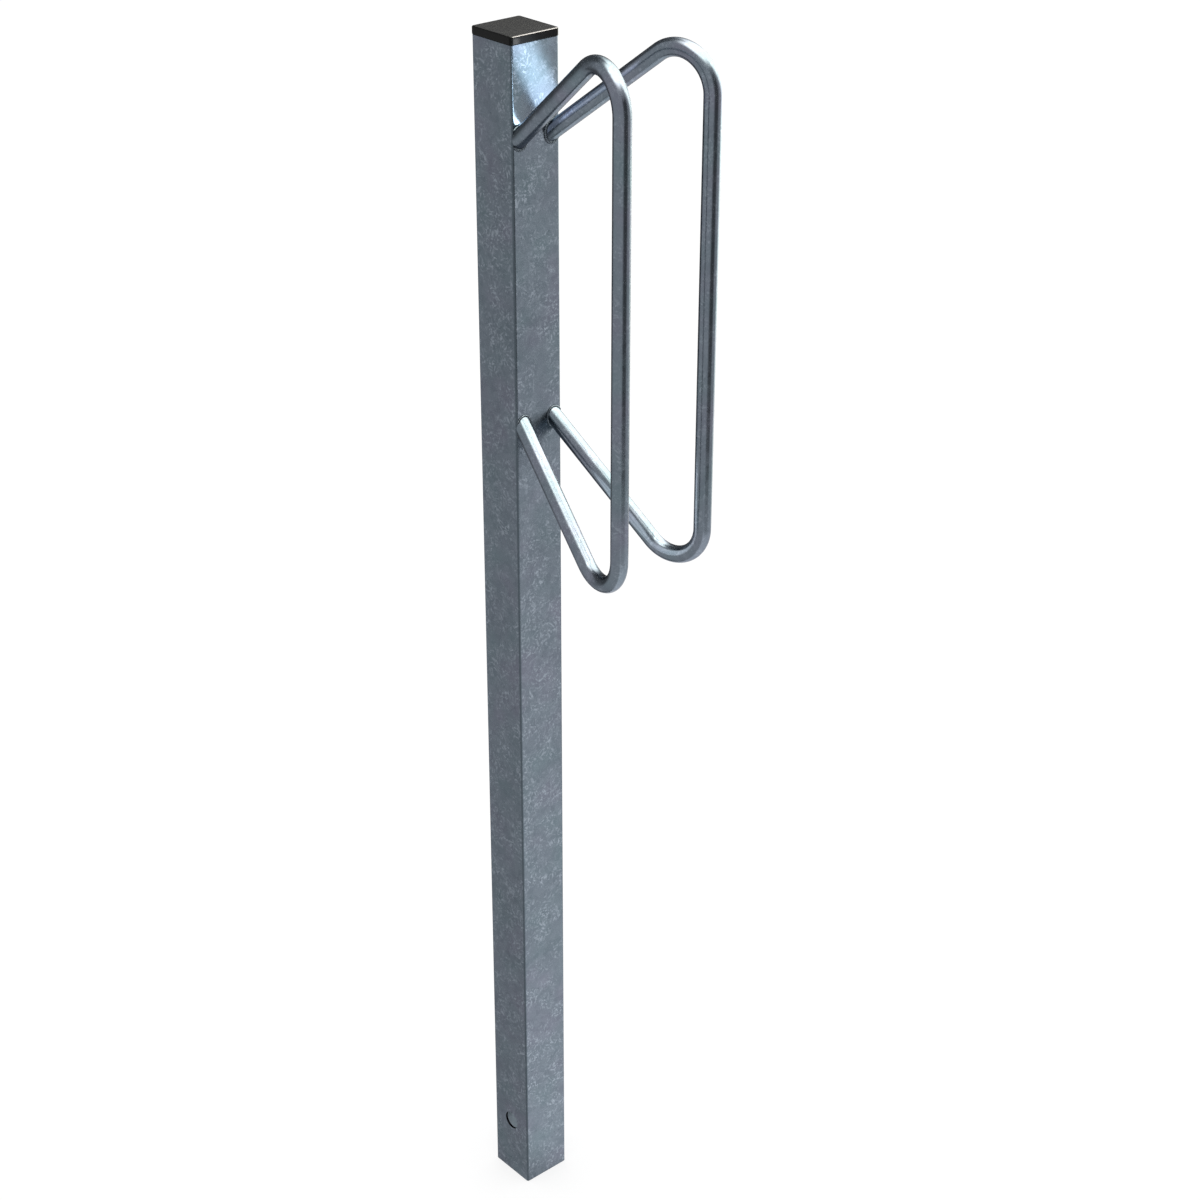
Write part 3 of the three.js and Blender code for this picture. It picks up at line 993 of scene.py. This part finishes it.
def add_dome(surround, cards):
    """A dome round the hoops that shows only in reflections and carries bright and dark cards."""
    shape = bmesh.new()
    glow = shape.verts.layers.float_vector.new("glow")
    rows = []
    for turn in range(-180, 180, DOME_STEP):
        row = []
        for rise in range(DOME_FOOT, ZENITH + 1, DOME_STEP):
            light = Vector(WHITE) * surround
            for card in cards:
                light = light.lerp(card.glow, card.weight(turn, rise))
            vert = shape.verts.new(direction(turn, rise) * RIG_RADIUS)
            vert[glow] = light
            row.append(vert)
        rows.append(row)
    for first, second in zip(rows, rows[1:] + rows[:1]):
        for low in range(len(first) - 1):
            shape.faces.new((first[low], second[low], second[low + 1], first[low + 1]))
    bmesh.ops.remove_doubles(shape, verts=shape.verts, dist=MERGE_DISTANCE)
    mesh = mesh_from(shape, "dome")
    dome = link("dome", mesh)
    dome.location = RIG_CENTRE
    t = FinishTree("dome")
    light = t.node("ShaderNodeAttribute", attribute_name="glow").outputs["Color"]
    t.glow_only(t.node("ShaderNodeEmission", {"Color": light, "Strength": 1.0}).outputs[0])
    t.material.cycles.emission_sampling = "NONE"
    mesh.materials.append(t.material)
    show_only_in_gloss(dome)


def receivers(name, *pieces):
    """A collection of the pieces that a lamp lights."""
    lit = bpy.data.collections.new(name)
    for piece in pieces:
        lit.objects.link(bpy.data.objects[piece])
    return lit


def add_lamp(name, lit, place, along, facing, size, brightness, tint=WHITE):
    """A rectangular lamp that shows only in the gloss of the lit pieces."""
    long, wide = size
    lamp = bpy.data.lights.new(name, "AREA")
    lamp.shape = "RECTANGLE"
    lamp.size = long
    lamp.size_y = wide
    lamp.energy = brightness * math.pi * long * wide
    lamp.color = tint
    holder = link(name, lamp)
    axes = Matrix((along, (-facing).cross(along), -facing)).transposed()
    holder.matrix_world = Matrix.Translation(place) @ axes.to_4x4()
    holder.light_linking.receiver_collection = lit
    show_only_in_gloss(holder)


def upper_leg_axes(side):
    """The foot of an upper leg, and the directions along, above and beside the leg."""
    foot, way, _tip = leg(bpy.context.scene.rack_hoop, side, "upper")
    upward = (UP - way * way.z).normalized()
    return foot, way, upward, upward.cross(way)


def add_leg_glow(name, lit, side, stretch, brightness):
    """The glow of an upper leg's bright top in the zinc and the cap behind it."""
    start, end, shift, width = stretch
    foot, way, upward, beside = upper_leg_axes(side)
    rise = bpy.context.scene.rack_hoop.bar_diameter / 2 + GLOW_CLEARANCE
    place = foot + way * (start + end) / 2 + upward * rise + beside * shift
    add_lamp(name, lit, place, way, upward, (end - start, width), brightness, SKY_BLUE)


class RACK_OT_stage(bpy.types.Operator):
    """Makes the floor, the light and the camera"""

    bl_idname = "rack.stage"
    bl_label = "Stage"

    def execute(self, context):
        s = context.scene.rack_stage
        self.add_world(s)
        self.add_floor(s)
        self.add_cards(s)
        self.add_hoop_glows(s)
        self.add_panels(s)
        self.add_cap_lights(s)
        self.add_bore_light(s)
        self.add_camera()
        context.scene.view_settings.view_transform = "Standard"
        return {"FINISHED"}

    def add_world(self, s):
        world = bpy.data.worlds.new("studio")
        bpy.context.scene.world = world
        world.use_nodes = True
        background = world.node_tree.nodes["Background"]
        background.inputs["Color"].default_value = (*WHITE, 1)
        background.inputs["Strength"].default_value = s.surround

    def add_floor(self, s):
        """A floor that is white where nothing shades it. Its reflections brighten towards the front
        right, most of all near the post, and darken behind it."""
        shape = bmesh.new()
        bmesh.ops.create_grid(shape, x_segments=1, y_segments=1, size=FLOOR_SIZE / 2)
        mesh = mesh_from(shape, "floor")
        floor = link("floor", mesh)
        t = FinishTree("floor")
        paint = t.node("ShaderNodeBsdfDiffuse", {"Color": FLOOR_PAINT}).outputs[0]
        rays = t.node("ShaderNodeLightPath").outputs
        seen = t.math("MAXIMUM", rays["Is Camera Ray"], rays["Is Transmission Ray"])
        toward = t.vector_math("DOT_PRODUCT", t.place, direction(LIT_TURN, 0), output="Value")
        far = t.vector_math("LENGTH", t.place, output="Value")
        extra = t.ramp(far, *LIT_REACH, s.floor_near, s.floor_far)
        way = t.vector_math("NORMALIZE", t.place)
        away = t.vector_math("DOT_PRODUCT", way, direction(DARK_TURN, 0), output="Value")
        behind = t.math("MULTIPLY", t.ramp(away, *DARK_SPREAD), t.ramp(far, *DARK_REACH))
        gloss = t.plus(1.0, t.ramp(toward, *LIT_START), extra)
        gloss = t.math("SUBTRACT", gloss, t.math("MULTIPLY", behind, 1.0 - s.back_flag))
        gloss = t.math("MULTIPLY", rays["Is Glossy Ray"], t.math("SUBTRACT", gloss, PAINT_BRIGHTNESS))
        strength = t.math("ADD", t.math("MULTIPLY", seen, FLOOR_GLOW), gloss)
        glow = t.node("ShaderNodeEmission", {"Color": (*WHITE, 1), "Strength": strength}).outputs[0]
        t.glow_only(t.node("ShaderNodeAddShader", {0: paint, 1: glow}).outputs[0])
        mesh.materials.append(t.material)

    def add_cards(self, s):
        """Soft lamps overhead and on the right, and dark flags in front and behind."""
        add_dome(s.surround, [
            dark_flag(s.front_flag, start=-32, end=35, top=42, soft_top=14, soft_sides=18),
            dark_flag(s.back_flag, start=140, end=212, top=66, soft_top=22, soft_sides=16),
            dark_flag(s.low_flag, start=122, end=154, top=26, soft_top=8, soft_sides=10),
            DomeCard(s.side, SIDE_COLUMNS, soft_sides=10, tint=WHITE_MINT),
            DomeCard(s.overhead, OVERHEAD_COLUMNS, tint=WHITE_MINT),
        ])

    def add_hoop_glows(self, s):
        """What the hoops' upper legs throw on the post and the cap, and what the post and the gap
        between the hoops throw on the right hoop."""
        lit = receivers("glow_receivers", "post_tube", "end_cap_moulding")
        add_leg_glow("right_leg_glow", lit, RIGHT, RIGHT_GLOW, s.glow)
        add_leg_glow("left_leg_glow", lit, LEFT, LEFT_GLOW, LEFT_GLOW_SHARE * s.glow)
        hoop = receivers("hoop_receiver", "bent_bar_right")
        add_lamp("leg_sheen", hoop, SHEEN_PLACE, UP, direction(0, 0), SHEEN_SIZE, s.sheen, LAVENDER)
        foot, way, upward, beside = upper_leg_axes(RIGHT)
        along, above, aside = GAP_GLOW_OFFSET
        place = foot + way * along + upward * above + beside * aside
        add_lamp("gap_glow", hoop, place, way, beside, GAP_GLOW_SIZE, s.gap, LAVENDER)
        add_lamp("band_glow", hoop, BAND_PLACE, UP, direction(90, 0), BAND_SIZE, s.band)

    def add_panels(self, s):
        post = receivers("face_receiver", "post_tube")
        for name, (place, turn, size) in PANELS.items():
            add_lamp(f"{name}_panel", post, place, UP, direction(turn, 0), size, getattr(s, name))

    def add_cap_lights(self, s):
        """The line of light along the cap's edge and the patch on its corner."""
        cap = receivers("cap_edge_receiver", "end_cap_moulding")
        way = direction(*CAP_EDGE_WAY)
        place = UP * post_size()[1] + way * CAP_EDGE_DISTANCE
        level_way = way.cross(UP).normalized()
        add_lamp("cap_edge_light", cap, place, level_way, -way, CAP_EDGE_SIZE, s.cap_edge, CREAM)
        corner_way = direction(*CAP_CORNER_WAY)
        add_lamp("cap_corner_light", cap, CAP_CORNER_PLACE, UP, corner_way, CAP_CORNER_SIZE, s.cap_corner)

    def add_bore_light(self, s):
        """A little light in the post's foot, so that the hole shows the bore's far wall."""
        lamp = bpy.data.lights.new("bore_light", "POINT")
        lamp.energy = s.bore
        lamp.shadow_soft_size = BORE_LIGHT_RADIUS
        holder = link("bore_light", lamp)
        hole_height = bpy.context.scene.rack_post.hole_height
        holder.location = Vector((0, -BORE_LIGHT_SHIFT, hole_height - BORE_LIGHT_DROP))
        holder.light_linking.receiver_collection = receivers("bore_receiver", "post_tube")
        holder.visible_camera = False
        holder.visible_glossy = False

    def add_camera(self):
        data = bpy.data.cameras.new("camera")
        camera = link("camera", data)
        camera.location = CAMERA_PLACE
        camera.rotation_euler = (math.pi / 2 - CAMERA_PITCH, 0, -CAMERA_YAW)
        data.sensor_width = SENSOR_WIDTH
        data.lens = SENSOR_WIDTH * FOCAL_PIXELS / FRAME_WIDTH
        data.shift_x = (FRAME_WIDTH / 2 - OPTICAL_CENTRE.x) / FRAME_WIDTH
        data.shift_y = (OPTICAL_CENTRE.y - FRAME_WIDTH / 2) / FRAME_WIDTH
        bpy.context.scene.camera = camera


class RACK_PT_panel(bpy.types.Panel):
    """Lists the rack's pieces"""

    bl_idname = "RACK_PT_panel"
    bl_label = "Hoop bike rack"
    bl_space_type = "VIEW_3D"
    bl_region_type = "UI"
    bl_category = "Bike Rack"

    def draw(self, context):
        for operator in OPERATORS:
            self.layout.operator(operator.bl_idname)


SETTINGS = {
    "rack_post": RackPostSettings,
    "rack_cap": RackCapSettings,
    "rack_hoop": RackHoopSettings,
    "rack_weld": RackWeldSettings,
    "rack_finish": RackFinishSettings,
    "rack_stage": RackStageSettings,
}
OPERATORS = (RACK_OT_post, RACK_OT_end_cap, RACK_OT_hoops, RACK_OT_welds, RACK_OT_stage)


def register():
    for name, group in SETTINGS.items():
        bpy.utils.register_class(group)
        setattr(bpy.types.Scene, name, PointerProperty(type=group))
    for operator in OPERATORS:
        bpy.utils.register_class(operator)
    bpy.utils.register_class(RACK_PT_panel)


def unregister():
    bpy.utils.unregister_class(RACK_PT_panel)
    for operator in reversed(OPERATORS):
        bpy.utils.unregister_class(operator)
    for name, group in reversed(SETTINGS.items()):
        delattr(bpy.types.Scene, name)
        bpy.utils.unregister_class(group)


def main():
    register()
    bpy.ops.rack.post()
    bpy.ops.rack.end_cap()
    bpy.ops.rack.hoops()
    bpy.ops.rack.welds()
    bpy.ops.rack.stage()


if __name__ == "__main__":
    main()
